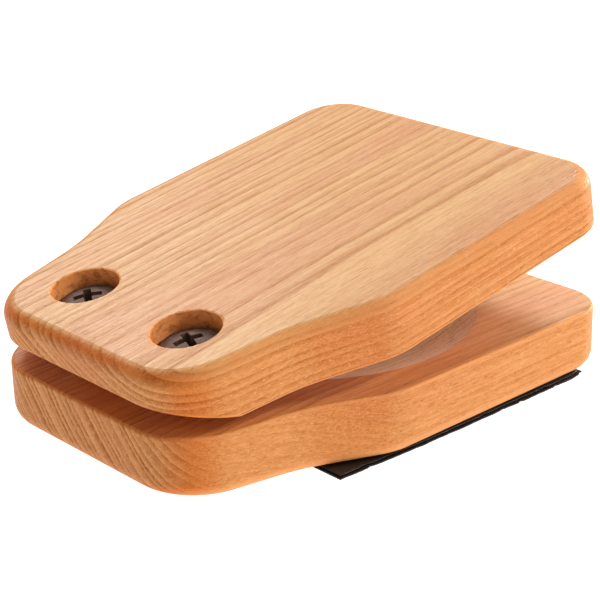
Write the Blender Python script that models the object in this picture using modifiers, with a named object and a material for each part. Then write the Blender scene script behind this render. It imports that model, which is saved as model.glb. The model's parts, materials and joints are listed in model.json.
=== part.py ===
"""Wooden castanet for a cajon.

Two paddle-shaped plates are held together at the neck by two screws. Rubber rings on the screws
push the upper plate up against the screw heads. The screws lean at the opening angle, so the plates
rest open, and they clap shut when the paddle is pressed. A self-adhesive hook tape under the lower
plate holds the castanet on the drum.

Metres, +Z up. +X runs from the neck to the wide end, and +Y is the left side seen from the neck.
The origin is the middle of the tape's lower face.
"""

import math

import bmesh
import bpy
from mathutils import Matrix, Vector

MM = 0.001

# Outline of both plates, with lengths measured from the neck end
PLATE_LENGTH = 79.1 * MM
NECK_END_WIDTH = 44.0 * MM
WAIST_X = 19.1 * MM
WAIST_WIDTH = 50.6 * MM
SHOULDER_X = 32.3 * MM
SHOULDER_WIDTH = 61.6 * MM
FAR_END_WIDTH = 60.0 * MM
NECK_CORNER_RADIUS = 10.7 * MM
WAIST_RADIUS = 28.0 * MM
SHOULDER_RADIUS = 11.6 * MM
FAR_CORNER_RADIUS = 7.8 * MM

# Thickness and edges of the plates
LOWER_THICKNESS = 10.0 * MM
UPPER_THICKNESS = 8.7 * MM
LOWER_EDGE_RADIUS = 2.75 * MM
UPPER_EDGE_RADIUS = 2.1 * MM
MATING_EDGE_RADIUS = 0.6 * MM

# How the plates meet: the rings hold the necks apart, and the upper neck is bevelled so that it can stand open
OPEN_ANGLE = math.radians(10.2)
NECK_GAP = 1.2 * MM
RIDGE_X = 9.45 * MM
NECK_BEVEL_ANGLE = math.radians(19.6)
LOWER_RELIEF_X = 23.2 * MM
LOWER_RELIEF_ANGLE = math.radians(1.8)

# Round dish hollowed into each mating face, and the flat lands left round it
DISH_DEPTH = 4.5 * MM
DISH_SIDE_LAND = 4.9 * MM
DISH_END_LAND = 10.3 * MM
DISH_NECK_LAND = 3.2 * MM

# Screws, which stand square to the resting upper plate
SCREW_X = 11.7 * MM
SCREW_SPACING = 23.15 * MM
SCREW_SHANK_DIAMETER = 3.5 * MM
SCREW_HEAD_DIAMETER = 8.5 * MM
SCREW_HEAD_EDGE_HEIGHT = 2.55 * MM
SCREW_HEAD_CROWN = 0.8 * MM
SCREW_TIP_LENGTH = 2.5 * MM
SCREW_TIP_COVER = 1.2 * MM
RECESS_SPAN = 4.9 * MM
RECESS_SLOT = 1.2 * MM
RECESS_FLOOR_SPAN = 1.9 * MM
RECESS_FLOOR_SLOT = 0.7 * MM
RECESS_DEPTH = 2.0 * MM
RECESS_TURNS = {"left": math.radians(57), "right": math.radians(71)}

# Wood left under each screw head, and the rubber rings below it
SEAT_THICKNESS = 3.1 * MM
RING_OUTER_DIAMETER = 8.0 * MM
RING_HEIGHT = 2.6 * MM
RING_BORE_CLEARANCE = 0.5 * MM
RING_CORNER = 0.4 * MM

# Self-adhesive hook tape under the paddle
TAPE_START_X = 22.4 * MM
TAPE_END_MARGIN = 5.6 * MM
TAPE_SIDE_MARGIN = 0.4 * MM
TAPE_THICKNESS = 0.45 * MM
ADHESIVE_THICKNESS = 0.12 * MM
ADHESIVE_INSET = 0.4 * MM
GLUE_GAP = 0.1 * MM

# Clearance between pieces that touch or turn in each other, and the smaller one beside a screw head
CLEARANCE = 0.3 * MM
HEAD_SIDE_GAP = 0.15 * MM

# Mesh fineness
CORNER_STEPS = 8
CURVE_STEPS = 4
EDGE_STEPS = 3
MATING_EDGE_STEPS = 2
BORE_STEPS = 40
DISH_STEPS = 56
DISH_RINGS = 7
SCREW_STEPS = 32
CROWN_RINGS = 4
WELD_DISTANCE = 0.001 * MM
CUT_MARGIN = 2.0 * MM
FLAT_ANGLE = math.radians(0.2)
SHARP_ANGLE = math.radians(40)

# Heights and places that follow from the sizes above
ADHESIVE_Z = TAPE_THICKNESS + GLUE_GAP
LOWER_PLATE_Z = ADHESIVE_Z + ADHESIVE_THICKNESS + GLUE_GAP
MATING_Z = LOWER_PLATE_Z + LOWER_THICKNESS
TAPE_END_X = PLATE_LENGTH - TAPE_END_MARGIN
ORIGIN_X = (TAPE_START_X + TAPE_END_X) / 2
PIVOT_Z = MATING_Z + NECK_GAP + SEAT_THICKNESS
PIVOT = Vector((RIDGE_X - ORIGIN_X, 0, PIVOT_Z))
OPEN_FRAME = Matrix.Translation(PIVOT) @ Matrix.Rotation(-OPEN_ANGLE, 4, "Y")

# The plates clap when their wide ends meet, and the fixed screws need room for that swing
CLAP_ANGLE = OPEN_ANGLE + math.asin((NECK_GAP - CLEARANCE) / (PLATE_LENGTH - RIDGE_X))
SWING = math.sin(CLAP_ANGLE)
SCREW_OFFSET = SCREW_X - RIDGE_X
HEAD_LIFT = (SCREW_HEAD_DIAMETER / 2 - SCREW_OFFSET) * SWING + CLEARANCE
HEAD_SIDE_CLEARANCE = (HEAD_LIFT + SCREW_HEAD_EDGE_HEIGHT) * SWING + HEAD_SIDE_GAP
SHANK_SIDE_CLEARANCE = SEAT_THICKNESS * SWING + CLEARANCE

# Dish: as wide as its lands leave room for
DISH_START_X = SCREW_X + DISH_NECK_LAND
DISH_LONG_RADIUS = (PLATE_LENGTH - DISH_END_LAND - DISH_START_X) / 2
DISH_CROSS_RADIUS = (SHOULDER_WIDTH + FAR_END_WIDTH) / 4 - DISH_SIDE_LAND
DISH_RADIUS = min(DISH_LONG_RADIUS, DISH_CROSS_RADIUS)
DISH_X = PLATE_LENGTH - DISH_END_LAND - DISH_RADIUS
DISH_SPHERE_RADIUS = (DISH_RADIUS ** 2 + DISH_DEPTH ** 2) / (2 * DISH_DEPTH)

# Height of the ring's faces and of the screw's tip below the pivot, along the screw
UNDERSIDE = -SEAT_THICKNESS
RING_TOP = UNDERSIDE - CLEARANCE
RING_BOTTOM = RING_TOP - RING_HEIGHT
POCKET_FLOOR = RING_BOTTOM - CLEARANCE
SCREW_AXIS_RISE = SCREW_OFFSET * math.sin(OPEN_ANGLE)
PLATE_FLOOR = -(PIVOT_Z + SCREW_AXIS_RISE - LOWER_PLATE_Z) / math.cos(OPEN_ANGLE)
SCREW_TIP = PLATE_FLOOR + SCREW_TIP_COVER + CLEARANCE

SIDES = {"left": 1, "right": -1}


def clear_scene():
    for obj in list(bpy.data.objects):
        bpy.data.objects.remove(obj)


def new_collection(name):
    collection = bpy.data.collections.new(name)
    bpy.context.scene.collection.children.link(collection)
    return collection


def principled(name, colour, roughness, metallic=0.0):
    material = bpy.data.materials.new(name)
    material.use_nodes = True
    shader = material.node_tree.nodes["Principled BSDF"]
    shader.inputs["Base Color"].default_value = (*colour, 1)
    shader.inputs["Roughness"].default_value = roughness
    shader.inputs["Metallic"].default_value = metallic
    return material


def corner_tangents(points, radii):
    """Length that each round corner takes of its two edges, shortened where two corners meet."""
    tangents = []
    for before, corner, after, radius in zip(points, points[1:], points[2:], radii):
        half_angle = (before - corner).angle(after - corner) / 2
        tangents.append(radius / math.tan(half_angle))
    for i in range(len(tangents) - 1):
        room = (points[i + 2] - points[i + 1]).length
        share = min(1.0, room / (tangents[i] + tangents[i + 1]))
        tangents[i] *= share
        tangents[i + 1] *= share
    return tangents


def round_corner(before, corner, after, tangent, steps):
    """Points of the arc that rounds a corner, from its first edge to its second."""
    to_before = (before - corner).normalized()
    to_after = (after - corner).normalized()
    half_angle = to_before.angle(to_after) / 2
    radius = tangent * math.tan(half_angle)
    centre = corner + (to_before + to_after).normalized() * (radius / math.sin(half_angle))
    start = corner + to_before * tangent - centre
    end = corner + to_after * tangent - centre
    sweep = start.angle_signed(end)
    turns = [Matrix.Rotation(-sweep * i / steps, 2) for i in range(steps + 1)]
    return [centre + turn @ start for turn in turns]


def plate_outline():
    """Outline of a plate, from the neck end round to the wide end and back."""
    corners = [
        (0, 0),
        (0, NECK_END_WIDTH / 2),
        (WAIST_X, WAIST_WIDTH / 2),
        (SHOULDER_X, SHOULDER_WIDTH / 2),
        (PLATE_LENGTH, FAR_END_WIDTH / 2),
        (PLATE_LENGTH, 0),
    ]
    points = [Vector(corner) for corner in corners]
    radii = [NECK_CORNER_RADIUS, WAIST_RADIUS, SHOULDER_RADIUS, FAR_CORNER_RADIUS]
    steps = [CORNER_STEPS, CURVE_STEPS, CURVE_STEPS, CORNER_STEPS]
    tangents = corner_tangents(points, radii)
    half = []
    for i, (tangent, count) in enumerate(zip(tangents, steps)):
        half += round_corner(points[i], points[i + 1], points[i + 2], tangent, count)
    other_half = [Vector((point.x, -point.y)) for point in reversed(half)]
    return half + other_half


def link(obj, collection, frame=None):
    collection.objects.link(obj)
    if frame:
        obj.matrix_world = frame
    return obj


def as_mesh(obj, name):
    """Plain closed mesh of an object as it is evaluated, which is then removed."""
    bpy.context.view_layer.update()
    evaluated = obj.evaluated_get(bpy.context.evaluated_depsgraph_get())
    mesh = bpy.data.meshes.new_from_object(evaluated)
    bpy.data.objects.remove(obj)
    mesh.name = name
    shape = bmesh.new()
    shape.from_mesh(mesh)
    bmesh.ops.remove_doubles(shape, verts=shape.verts, dist=WELD_DISTANCE)
    bmesh.ops.dissolve_degenerate(shape, edges=shape.edges, dist=WELD_DISTANCE)
    bmesh.ops.recalc_face_normals(shape, faces=shape.faces)
    shape.to_mesh(mesh)
    shape.free()
    return mesh


def slab_mesh(name, outline, thickness):
    """Flat plate of an outline, from z = 0 up to its thickness, with each flat face in one piece."""
    curve = bpy.data.curves.new(name, "CURVE")
    curve.dimensions = "2D"
    curve.fill_mode = "BOTH"
    curve.extrude = thickness / 2
    spline = curve.splines.new("POLY")
    spline.points.add(len(outline) - 1)
    for point, place in zip(spline.points, outline):
        point.co = (place.x, place.y, 0, 1)
    spline.use_cyclic_u = True
    obj = link(bpy.data.objects.new(name, curve), bpy.context.scene.collection)
    mesh = as_mesh(obj, name)
    mesh.transform(Matrix.Translation((0, 0, thickness / 2)))
    shape = bmesh.new()
    shape.from_mesh(mesh)
    bmesh.ops.dissolve_limit(
        shape, angle_limit=FLAT_ANGLE, verts=shape.verts, edges=shape.edges
    )
    shape.to_mesh(mesh)
    shape.free()
    return mesh


def turned_mesh(name, profile, steps, closed=False):
    """Profile of (radius, height) points, top to bottom, turned about Z."""
    outline = bmesh.new()
    verts = [outline.verts.new((radius, 0, height)) for radius, height in profile]
    for start, end in zip(verts, verts[1:]):
        outline.edges.new((start, end))
    if closed:
        outline.edges.new((verts[-1], verts[0]))
    mesh = bpy.data.meshes.new(name + "_profile")
    outline.to_mesh(mesh)
    outline.free()
    obj = link(bpy.data.objects.new(name, mesh), bpy.context.scene.collection)
    screw = obj.modifiers.new("turn", "SCREW")
    screw.steps = steps
    screw.render_steps = steps
    screw.use_merge_vertices = True
    screw.merge_threshold = WELD_DISTANCE
    return as_mesh(obj, name)


def box_mesh(name, size, centre):
    shape = bmesh.new()
    bmesh.ops.create_cube(shape, size=1.0, matrix=Matrix.LocRotScale(centre, None, size))
    mesh = bpy.data.meshes.new(name)
    shape.to_mesh(mesh)
    shape.free()
    return mesh


def part(name, mesh, material, frame):
    obj = link(bpy.data.objects.new(name, mesh), PARTS, frame)
    mesh.materials.append(material)
    mesh.shade_smooth()
    mesh.set_sharp_from_angle(angle=SHARP_ANGLE)
    return obj


def cutter(name, mesh, frame):
    obj = link(bpy.data.objects.new(name, mesh), CUTTERS, frame)
    obj.hide_render = True
    obj.display_type = "WIRE"
    return obj


def cut(obj, tool):
    boolean = obj.modifiers.new(tool.name, "BOOLEAN")
    boolean.operation = "DIFFERENCE"
    boolean.solver = "EXACT"
    boolean.object = tool


def mark_outer_edges(mesh, outer_z):
    """Marks the edges of the face at a height for the wide roundover."""
    weights = mesh.attributes.new("bevel_weight_edge", "FLOAT", "EDGE")
    for edge in mesh.edges:
        heights = [mesh.vertices[index].co.z for index in edge.vertices]
        weights.data[edge.index].value = max(abs(z - outer_z) for z in heights) < WELD_DISTANCE


def round_outer_edges(obj, radius):
    bevel = obj.modifiers.new("round_outer_edges", "BEVEL")
    bevel.width = radius
    bevel.segments = EDGE_STEPS
    bevel.limit_method = "WEIGHT"
    bevel.use_clamp_overlap = False


def ease_mating_edges(obj):
    bevel = obj.modifiers.new("ease_mating_edges", "BEVEL")
    bevel.width = MATING_EDGE_RADIUS
    bevel.segments = MATING_EDGE_STEPS
    bevel.limit_method = "ANGLE"
    bevel.angle_limit = SHARP_ANGLE
    bevel.use_clamp_overlap = False


def dish_profile():
    """Dish below z = 0, with its rim at z = 0 and a straight wall above it."""
    points = [(0, CUT_MARGIN), (DISH_RADIUS, CUT_MARGIN)]
    half_angle = math.asin(DISH_RADIUS / DISH_SPHERE_RADIUS)
    for i in range(DISH_RINGS + 1):
        angle = half_angle * (1 - i / DISH_RINGS)
        height = DISH_SPHERE_RADIUS * (1 - math.cos(angle)) - DISH_DEPTH
        points.append((DISH_SPHERE_RADIUS * math.sin(angle), height))
    return points


def bore_profile(wide_radius, step_height, narrow_radius, top, bottom):
    """Stepped bore: wide down to the step, narrow below it."""
    return [
        (0, top),
        (wide_radius, top),
        (wide_radius, step_height),
        (narrow_radius, step_height),
        (narrow_radius, bottom),
        (0, bottom),
    ]


def screw_place(side):
    """Frame on a screw's axis, level with the pivot and leaning with the open plate."""
    return OPEN_FRAME @ Matrix.Translation((SCREW_OFFSET, SIDES[side] * SCREW_SPACING / 2, 0))


def neck_wedge(name, ridge_x, slope, face_z, up):
    """Box whose face starts at the ridge and takes off what lies between it and the mating face."""
    size = Vector((PLATE_LENGTH, SHOULDER_WIDTH + 2 * CUT_MARGIN, LOWER_THICKNESS + UPPER_THICKNESS))
    centre = Vector((CUT_MARGIN - size.x / 2, 0, up * size.z / 2))
    mesh = box_mesh(name, size, centre)
    mesh.transform(Matrix.Rotation(-up * slope, 4, "Y"))
    mesh.transform(Matrix.Translation((ridge_x, 0, face_z)))
    return mesh


def make_lower_plate(wood):
    frame = Matrix.Translation((-ORIGIN_X, 0, LOWER_PLATE_Z))
    mesh = slab_mesh("lower_plate", plate_outline(), LOWER_THICKNESS)
    mark_outer_edges(mesh, 0)
    plate = part("lower_plate", mesh, wood, frame)
    round_outer_edges(plate, LOWER_EDGE_RADIUS)
    relief = neck_wedge(
        "lower_relief", LOWER_RELIEF_X, LOWER_RELIEF_ANGLE, LOWER_THICKNESS, 1
    )
    cut(plate, cutter("lower_relief", relief, frame))
    ease_mating_edges(plate)
    dish = turned_mesh("lower_dish", dish_profile(), DISH_STEPS)
    cut(plate, cutter("lower_dish", dish, frame @ Matrix.Translation((DISH_X, 0, LOWER_THICKNESS))))
    for side in SIDES:
        name = side + "_pilot_hole"
        profile = bore_profile(
            RING_OUTER_DIAMETER / 2 + CLEARANCE,
            POCKET_FLOOR,
            SCREW_SHANK_DIAMETER / 2 + CLEARANCE,
            0,
            SCREW_TIP - CLEARANCE,
        )
        cut(plate, cutter(name, turned_mesh(name, profile, BORE_STEPS), screw_place(side)))
    return plate


def make_upper_plate(wood):
    hinge = bpy.data.objects.new("clapper_hinge", None)
    link(hinge, PARTS, OPEN_FRAME)
    in_hinge = Matrix.Translation((-RIDGE_X, 0, UNDERSIDE))
    frame = OPEN_FRAME @ in_hinge
    mesh = slab_mesh("upper_plate", plate_outline(), UPPER_THICKNESS)
    mark_outer_edges(mesh, UPPER_THICKNESS)
    mesh.transform(in_hinge)
    plate = part("upper_plate", mesh, wood, OPEN_FRAME)
    round_outer_edges(plate, UPPER_EDGE_RADIUS)
    plate.parent = hinge
    plate.matrix_parent_inverse = OPEN_FRAME.inverted()
    bevel = neck_wedge("neck_bevel", RIDGE_X, NECK_BEVEL_ANGLE, 0, -1)
    cut(plate, cutter("neck_bevel", bevel, frame))
    ease_mating_edges(plate)
    dish = turned_mesh("upper_dish", dish_profile(), DISH_STEPS)
    upside_down = Matrix.Rotation(math.pi, 4, "X")
    cut(plate, cutter("upper_dish", dish, frame @ Matrix.Translation((DISH_X, 0, 0)) @ upside_down))
    for side in SIDES:
        name = side + "_counterbore"
        profile = bore_profile(
            SCREW_HEAD_DIAMETER / 2 + HEAD_SIDE_CLEARANCE,
            0,
            SCREW_SHANK_DIAMETER / 2 + SHANK_SIDE_CLEARANCE,
            UPPER_THICKNESS,
            UNDERSIDE - CUT_MARGIN,
        )
        cut(plate, cutter(name, turned_mesh(name, profile, BORE_STEPS), screw_place(side)))
    return plate


def screw_profile():
    """Raised head above z = HEAD_LIFT, then the shank and its pointed tip."""
    head_radius = SCREW_HEAD_DIAMETER / 2
    edge_top = HEAD_LIFT + SCREW_HEAD_EDGE_HEIGHT
    crown_radius = (head_radius ** 2 + SCREW_HEAD_CROWN ** 2) / (2 * SCREW_HEAD_CROWN)
    half_angle = math.asin(head_radius / crown_radius)
    points = []
    for i in range(CROWN_RINGS + 1):
        angle = half_angle * i / CROWN_RINGS
        height = edge_top + SCREW_HEAD_CROWN - crown_radius * (1 - math.cos(angle))
        points.append((crown_radius * math.sin(angle), height))
    shank_radius = SCREW_SHANK_DIAMETER / 2
    points += [
        (head_radius, HEAD_LIFT),
        (shank_radius, HEAD_LIFT),
        (shank_radius, SCREW_TIP + SCREW_TIP_LENGTH),
        (0, SCREW_TIP),
    ]
    return points


def recess_mesh(name, turn):
    """Cross-shaped plug that narrows to its floor and cuts the recess into a screw head."""
    arm = RECESS_SPAN / 2
    slot = RECESS_SLOT / 2
    corner = [Vector((arm, -slot)), Vector((arm, slot)), Vector((slot, slot))]
    quarters = [Matrix.Rotation(math.pi / 2 * i, 2) for i in range(4)]
    outline = [quarter @ point for quarter in quarters for point in corner]
    mesh = slab_mesh(name, outline, RECESS_DEPTH + CLEARANCE)
    for vert in mesh.vertices:
        if vert.co.z < CLEARANCE:
            for axis in range(2):
                at_arm_end = abs(vert.co[axis]) > RECESS_SLOT
                share = RECESS_FLOOR_SPAN / RECESS_SPAN if at_arm_end else RECESS_FLOOR_SLOT / RECESS_SLOT
                vert.co[axis] *= share
    crown_top = HEAD_LIFT + SCREW_HEAD_EDGE_HEIGHT + SCREW_HEAD_CROWN
    mesh.transform(Matrix.Rotation(turn, 4, "Z"))
    mesh.transform(Matrix.Translation((0, 0, crown_top - RECESS_DEPTH)))
    return mesh


def make_screws(steel):
    for side in SIDES:
        name = side + "_screw"
        frame = screw_place(side)
        screw = part(name, turned_mesh(name, screw_profile(), SCREW_STEPS), steel, frame)
        recess = side + "_recess"
        cut(screw, cutter(recess, recess_mesh(recess, RECESS_TURNS[side]), frame))


def ring_profile():
    """Section of a rubber ring with its four corners cut off."""
    outer = RING_OUTER_DIAMETER / 2
    inner = SCREW_SHANK_DIAMETER / 2 + RING_BORE_CLEARANCE
    return [
        (inner + RING_CORNER, RING_TOP),
        (outer - RING_CORNER, RING_TOP),
        (outer, RING_TOP - RING_CORNER),
        (outer, RING_BOTTOM + RING_CORNER),
        (outer - RING_CORNER, RING_BOTTOM),
        (inner + RING_CORNER, RING_BOTTOM),
        (inner, RING_BOTTOM + RING_CORNER),
        (inner, RING_TOP - RING_CORNER),
    ]


def make_rings(rubber):
    for side in SIDES:
        name = side + "_ring"
        mesh = turned_mesh(name, ring_profile(), SCREW_STEPS, closed=True)
        part(name, mesh, rubber, screw_place(side))


def make_tape(fabric, adhesive):
    length = TAPE_END_X - TAPE_START_X
    width = FAR_END_WIDTH - 2 * TAPE_SIDE_MARGIN
    tape_size = Vector((length, width, TAPE_THICKNESS))
    tape_middle = Vector((0, 0, TAPE_THICKNESS / 2))
    part("hook_tape", box_mesh("hook_tape", tape_size, tape_middle), fabric, Matrix())
    film_size = Vector((length - 2 * ADHESIVE_INSET, width - 2 * ADHESIVE_INSET, ADHESIVE_THICKNESS))
    film_middle = Vector((0, 0, ADHESIVE_Z + ADHESIVE_THICKNESS / 2))
    part("tape_adhesive", box_mesh("tape_adhesive", film_size, film_middle), adhesive, Matrix())


clear_scene()
PARTS = new_collection("cajon_castanet")
CUTTERS = new_collection("cutters")
WOOD = principled("oiled_hardwood", (0.62, 0.36, 0.16), 0.45)
make_lower_plate(WOOD)
make_upper_plate(WOOD)
make_screws(principled("black_steel", (0.03, 0.025, 0.022), 0.45, 0.8))
make_rings(principled("black_rubber", (0.02, 0.02, 0.02), 0.8))
make_tape(
    principled("black_hook_tape", (0.015, 0.014, 0.015), 0.9),
    principled("tape_adhesive", (0.02, 0.017, 0.016), 0.5),
)
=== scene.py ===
"""Looks of a wooden cajon castanet.

Run as a script in Blender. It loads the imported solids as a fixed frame, builds the plates, the screws,
the rubber rings and the hook tape round them with procedural finishes, and sets up a small studio.
"""

import json
import math
import random

import bmesh
import bpy
from bpy.props import FloatProperty, FloatVectorProperty, IntProperty, PointerProperty
from mathutils import Matrix, Vector


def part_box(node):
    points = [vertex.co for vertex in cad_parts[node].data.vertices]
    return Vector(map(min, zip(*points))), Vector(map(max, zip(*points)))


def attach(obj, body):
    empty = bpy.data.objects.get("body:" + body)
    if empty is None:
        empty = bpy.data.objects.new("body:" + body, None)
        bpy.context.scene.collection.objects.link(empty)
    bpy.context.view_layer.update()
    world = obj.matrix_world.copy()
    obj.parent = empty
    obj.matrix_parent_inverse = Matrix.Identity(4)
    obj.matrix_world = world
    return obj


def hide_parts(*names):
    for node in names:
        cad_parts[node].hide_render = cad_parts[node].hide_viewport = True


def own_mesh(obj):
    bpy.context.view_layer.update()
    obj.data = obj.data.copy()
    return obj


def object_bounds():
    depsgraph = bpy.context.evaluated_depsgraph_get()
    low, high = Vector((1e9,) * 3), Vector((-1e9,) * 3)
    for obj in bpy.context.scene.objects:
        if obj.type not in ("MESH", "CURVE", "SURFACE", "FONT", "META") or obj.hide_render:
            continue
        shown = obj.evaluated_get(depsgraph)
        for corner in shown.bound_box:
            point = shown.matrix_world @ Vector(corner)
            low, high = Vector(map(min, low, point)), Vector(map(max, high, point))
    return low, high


bl_info = {
    "name": "Cajon castanet",
    "version": (1, 0, 0),
    "blender": (4, 5, 0),
    "location": "View3D > Sidebar > Castanet",
    "description": "Dresses the solids of a sprung wooden castanet with oiled grain, screws and hook tape",
    "category": "Add Mesh",
}

MM = 0.001

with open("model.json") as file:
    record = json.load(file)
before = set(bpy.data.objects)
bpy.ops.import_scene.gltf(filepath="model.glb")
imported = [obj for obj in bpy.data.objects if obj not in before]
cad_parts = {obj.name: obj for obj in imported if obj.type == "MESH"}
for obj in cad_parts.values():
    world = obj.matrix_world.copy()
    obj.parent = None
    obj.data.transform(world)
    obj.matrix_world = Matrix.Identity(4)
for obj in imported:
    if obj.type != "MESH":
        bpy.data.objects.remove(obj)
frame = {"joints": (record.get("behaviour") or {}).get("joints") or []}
CAD_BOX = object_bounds()
HINGE = frame["joints"][0]

# Places and sizes that follow from the solids
PIVOT = Vector(HINGE["pos_m"])
CLAP_ANGLE = math.radians(HINGE["range_deg"][1])
SWING = math.sin(CLAP_ANGLE)
LOWER_LOW, LOWER_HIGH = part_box("lower_plate")
TAPE_LOW, TAPE_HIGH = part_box("hook_tape")
FILM_LOW, FILM_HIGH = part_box("tape_adhesive")
TIP_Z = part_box("left_screw")[0].z
NECK_X = LOWER_LOW.x
PLATE_LENGTH = LOWER_HIGH.x - LOWER_LOW.x
LOWER_THICKNESS = LOWER_HIGH.z - LOWER_LOW.z
RIDGE_X = PIVOT.x - NECK_X
CLEARANCE = 0.3 * MM
HEAD_SIDE_GAP = 0.15 * MM
NECK_GAP = 1.2 * MM
SEAT_THICKNESS = PIVOT.z - LOWER_HIGH.z - NECK_GAP
OPEN_ANGLE = CLAP_ANGLE - math.asin((NECK_GAP - CLEARANCE) / (PLATE_LENGTH - RIDGE_X))
LOWER_FRAME = Matrix.Translation((NECK_X, 0, LOWER_LOW.z))
OPEN_FRAME = Matrix.Translation(PIVOT) @ Matrix.Rotation(-OPEN_ANGLE, 4, "Y")
UPPER_FRAME = OPEN_FRAME @ Matrix.Translation((-RIDGE_X, 0, -SEAT_THICKNESS))
SIDES = {"left": 1, "right": -1}

# Softboxes round the castanet: turn from the wide end, height angle, width and level
SOFTBOX_DISTANCE = 0.85
SOFTBOXES = (
    ("right_light", 0, 8, 0.20, 0.75),
    ("far_light", 25, 42, 0.20, 0.54),
    ("front_light", 314, 36, 0.20, 0.55),
    ("near_light", 270, 36, 0.20, 0.05),
    ("back_light", 80, 45, 0.50, 0.68),
)

# Round paper floor whose rim turns up to the horizon
FLOOR_RADIUS = 3.0
FLOOR_RIM = 0.45
FLOOR_STEPS = 8
FLOOR_GAP = 0.1 * MM

# Camera's sensor in millimetres and the nearest distance that it sees
SENSOR_WIDTH = 36.0
NEAR_CLIP = 0.01

# Mesh fineness and margins
WELD = 0.002 * MM
CUT_MARGIN = 2.0 * MM
CORNER_STEPS = 20
CURVE_STEPS = 12
EDGE_STEPS = 8
MATING_STEPS = 6
BORE_STEPS = 128
DISH_STEPS = 144
DISH_RINGS = 14
SCREW_STEPS = 72
CROWN_STEPS = 8
HEAD_EDGE_STEPS = 5
THREAD_STEPS = 24
THREAD_SIDES = 3
RING_CORNER_STEPS = 4
TAPE_CUT_STEPS = 90
FILM_CUT_STEPS = 60
HOOK_STEPS = 5
HOOK_SIDES = 4
FLAT_ANGLE = math.radians(0.2)
EDGE_ANGLE = math.radians(40)
SHARP_ANGLE = math.radians(32)
RIM_ANGLE = math.radians(17)

# Share of the torn fibres' depth that is left where the drill cuts along the grain
TEAR_ALONG = 0.35

# Cross recesses: turn in degrees, and how far arms and slots narrow at the floor
RECESS_TURNS = {"left": 57, "right": 71}
ARM_TAPER = 0.4
SLOT_TAPER = 0.6
HEAD_EDGE_START = 70

# Cut of the tape: how it drifts and nicks, how far the near cut runs askew, and its clipped corner
DRIFT_KEPT = 0.6
DRIFT_STEP = 0.55
DRIFT_SHARE = 0.6
NICK_DEPTH = 0.8
NICK_CHANCE = 0.06
NEAR_SKEW = 0.5
NEAR_SKEW_END = 0.3
CLIP_START = 0.94
CLIP_DEPTH = 0.6

# Hooks: reach of their bend, lean and point as shares of their height, and largest turn
HOOK_BEND = 1.25
HOOK_LEAN = 0.75
HOOK_POINT = 0.45
HOOK_TURN = 0.5

# Patterns of the wood: scale per millimetre along and across the grain, seed step, detail and roughness
WOOD_PATTERNS = {
    "wave": ((0.010, 0.05, 0.05), 0, 2.0, 0.5),
    "broken": ((0.06, 1.3, 1.3), 2, 2.0, 0.5),
    "fibre": ((0.14, 3.4, 3.4), 3, 4.0, 0.7),
    "band": ((0.014, 0.13, 0.13), 5, 1.0, 0.5),
    "grain": ((1.3, 6.5, 6.5), 7, 1.0, 0.5),
    "pore": ((0.5, 5.5, 5.5), 9, 1.0, 0.5),
    "fleck": ((1.7, 4.2, 4.2), 13, 1.0, 0.5),
    "dash": ((0.8, 3.6, 3.6), 17, 1.0, 0.5),
    "scorch": ((0.8, 0.8, 1.3), 19, 3.0, 0.6),
}

# Each plate's cut: angle at which it stands open, pith (y, z) in millimetres, how clearly the growth
# lines show on its long sides, and seed
UPPER_CUT = (OPEN_ANGLE, (-27.0, 66.0), 1.0, 2.0)
LOWER_CUT = (0.0, (-110.0, 105.0), 0.35, 11.0)

# Growth rings: waviness in millimetres, and how fast and how far their width changes
RING_WAVE = 2.4
RING_CHANGE = 0.35
RING_UNEVEN = 3.0

# Smooth steps of the wood's masks: start and end, then low and high where they aren't 0 and 1
FLAT_FACE = (0.88, 0.998)
SHINY_FACE = (0.985, 0.9995)
SIDE_FACE = (0.2, 0.6)
END_FACE = (0.45, 0.95)
# Dish rim darker at both ends: partly end grain, partly painted shade
DISH_END_SHADE = (0.29, 0.335)
# Band of painted light on the long rounded edges
LIT_ROUND_BAND = (0.15, 0.5, 0.0, 0.4)
CORNER_RISE = (0.2, 0.7)
CORNER_FALL = (0.7, 0.98, 1.0, 0.0)
LINE_FADE = (0.0, 1.0, 2.0, 0.8)
LINE_START = (0.0, 0.12)
LINE_STRENGTH = (0.0, 1.0, 0.6, 1.0)
LINE_BREAKS = (0.30, 0.60, 0.5, 1.0)
FACE_LINES = (0.0, 1.0, 1.0, 0.5)
PORES = (0.58, 0.70)
PORES_IN_LINES = (0.05, 0.5, 0.5, 1.0)
DASHES = (0.60, 0.70)
FLECKS = (0.60, 0.72, 0.0, 0.65)
BANDS = (0.42, 0.68, 0.0, 0.6)
FIBRES = (0.36, 0.64)
GRAINS = (0.35, 0.65)
SCORCH = (0.48, 0.66, 0.0, 0.6)
WOOD_ROUGHNESS = (0.25, 0.75, 0.36, 0.48)
DULL_LINES = (0.0, 0.8, 1.0, 0.4)
DULL_FIBRES = (0.36, 0.64, 1.0, 0.55)
WOOD_GLOSS = (0.0, 1.0, 0.06, 0.5)

# Shares in the wood's colour, reach of the fresh bores in head widths, and relief
# DISH_SHEEN_SHARE is the share of the painted sheen in the dishes
DISH_SHEEN_SHARE = 0.9
PORE_SHARE = 0.65
# Fresh wood in the bores, partly painted light that brightens the bore walls
FRESH_SHARE = 0.35
SIDE_DASHES = 0.75
LINE_DASHES = 0.5
BORE_REACH = 0.7
FIBRE_RELIEF = 0.5
WOOD_RELIEF = 0.03 * MM

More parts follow.
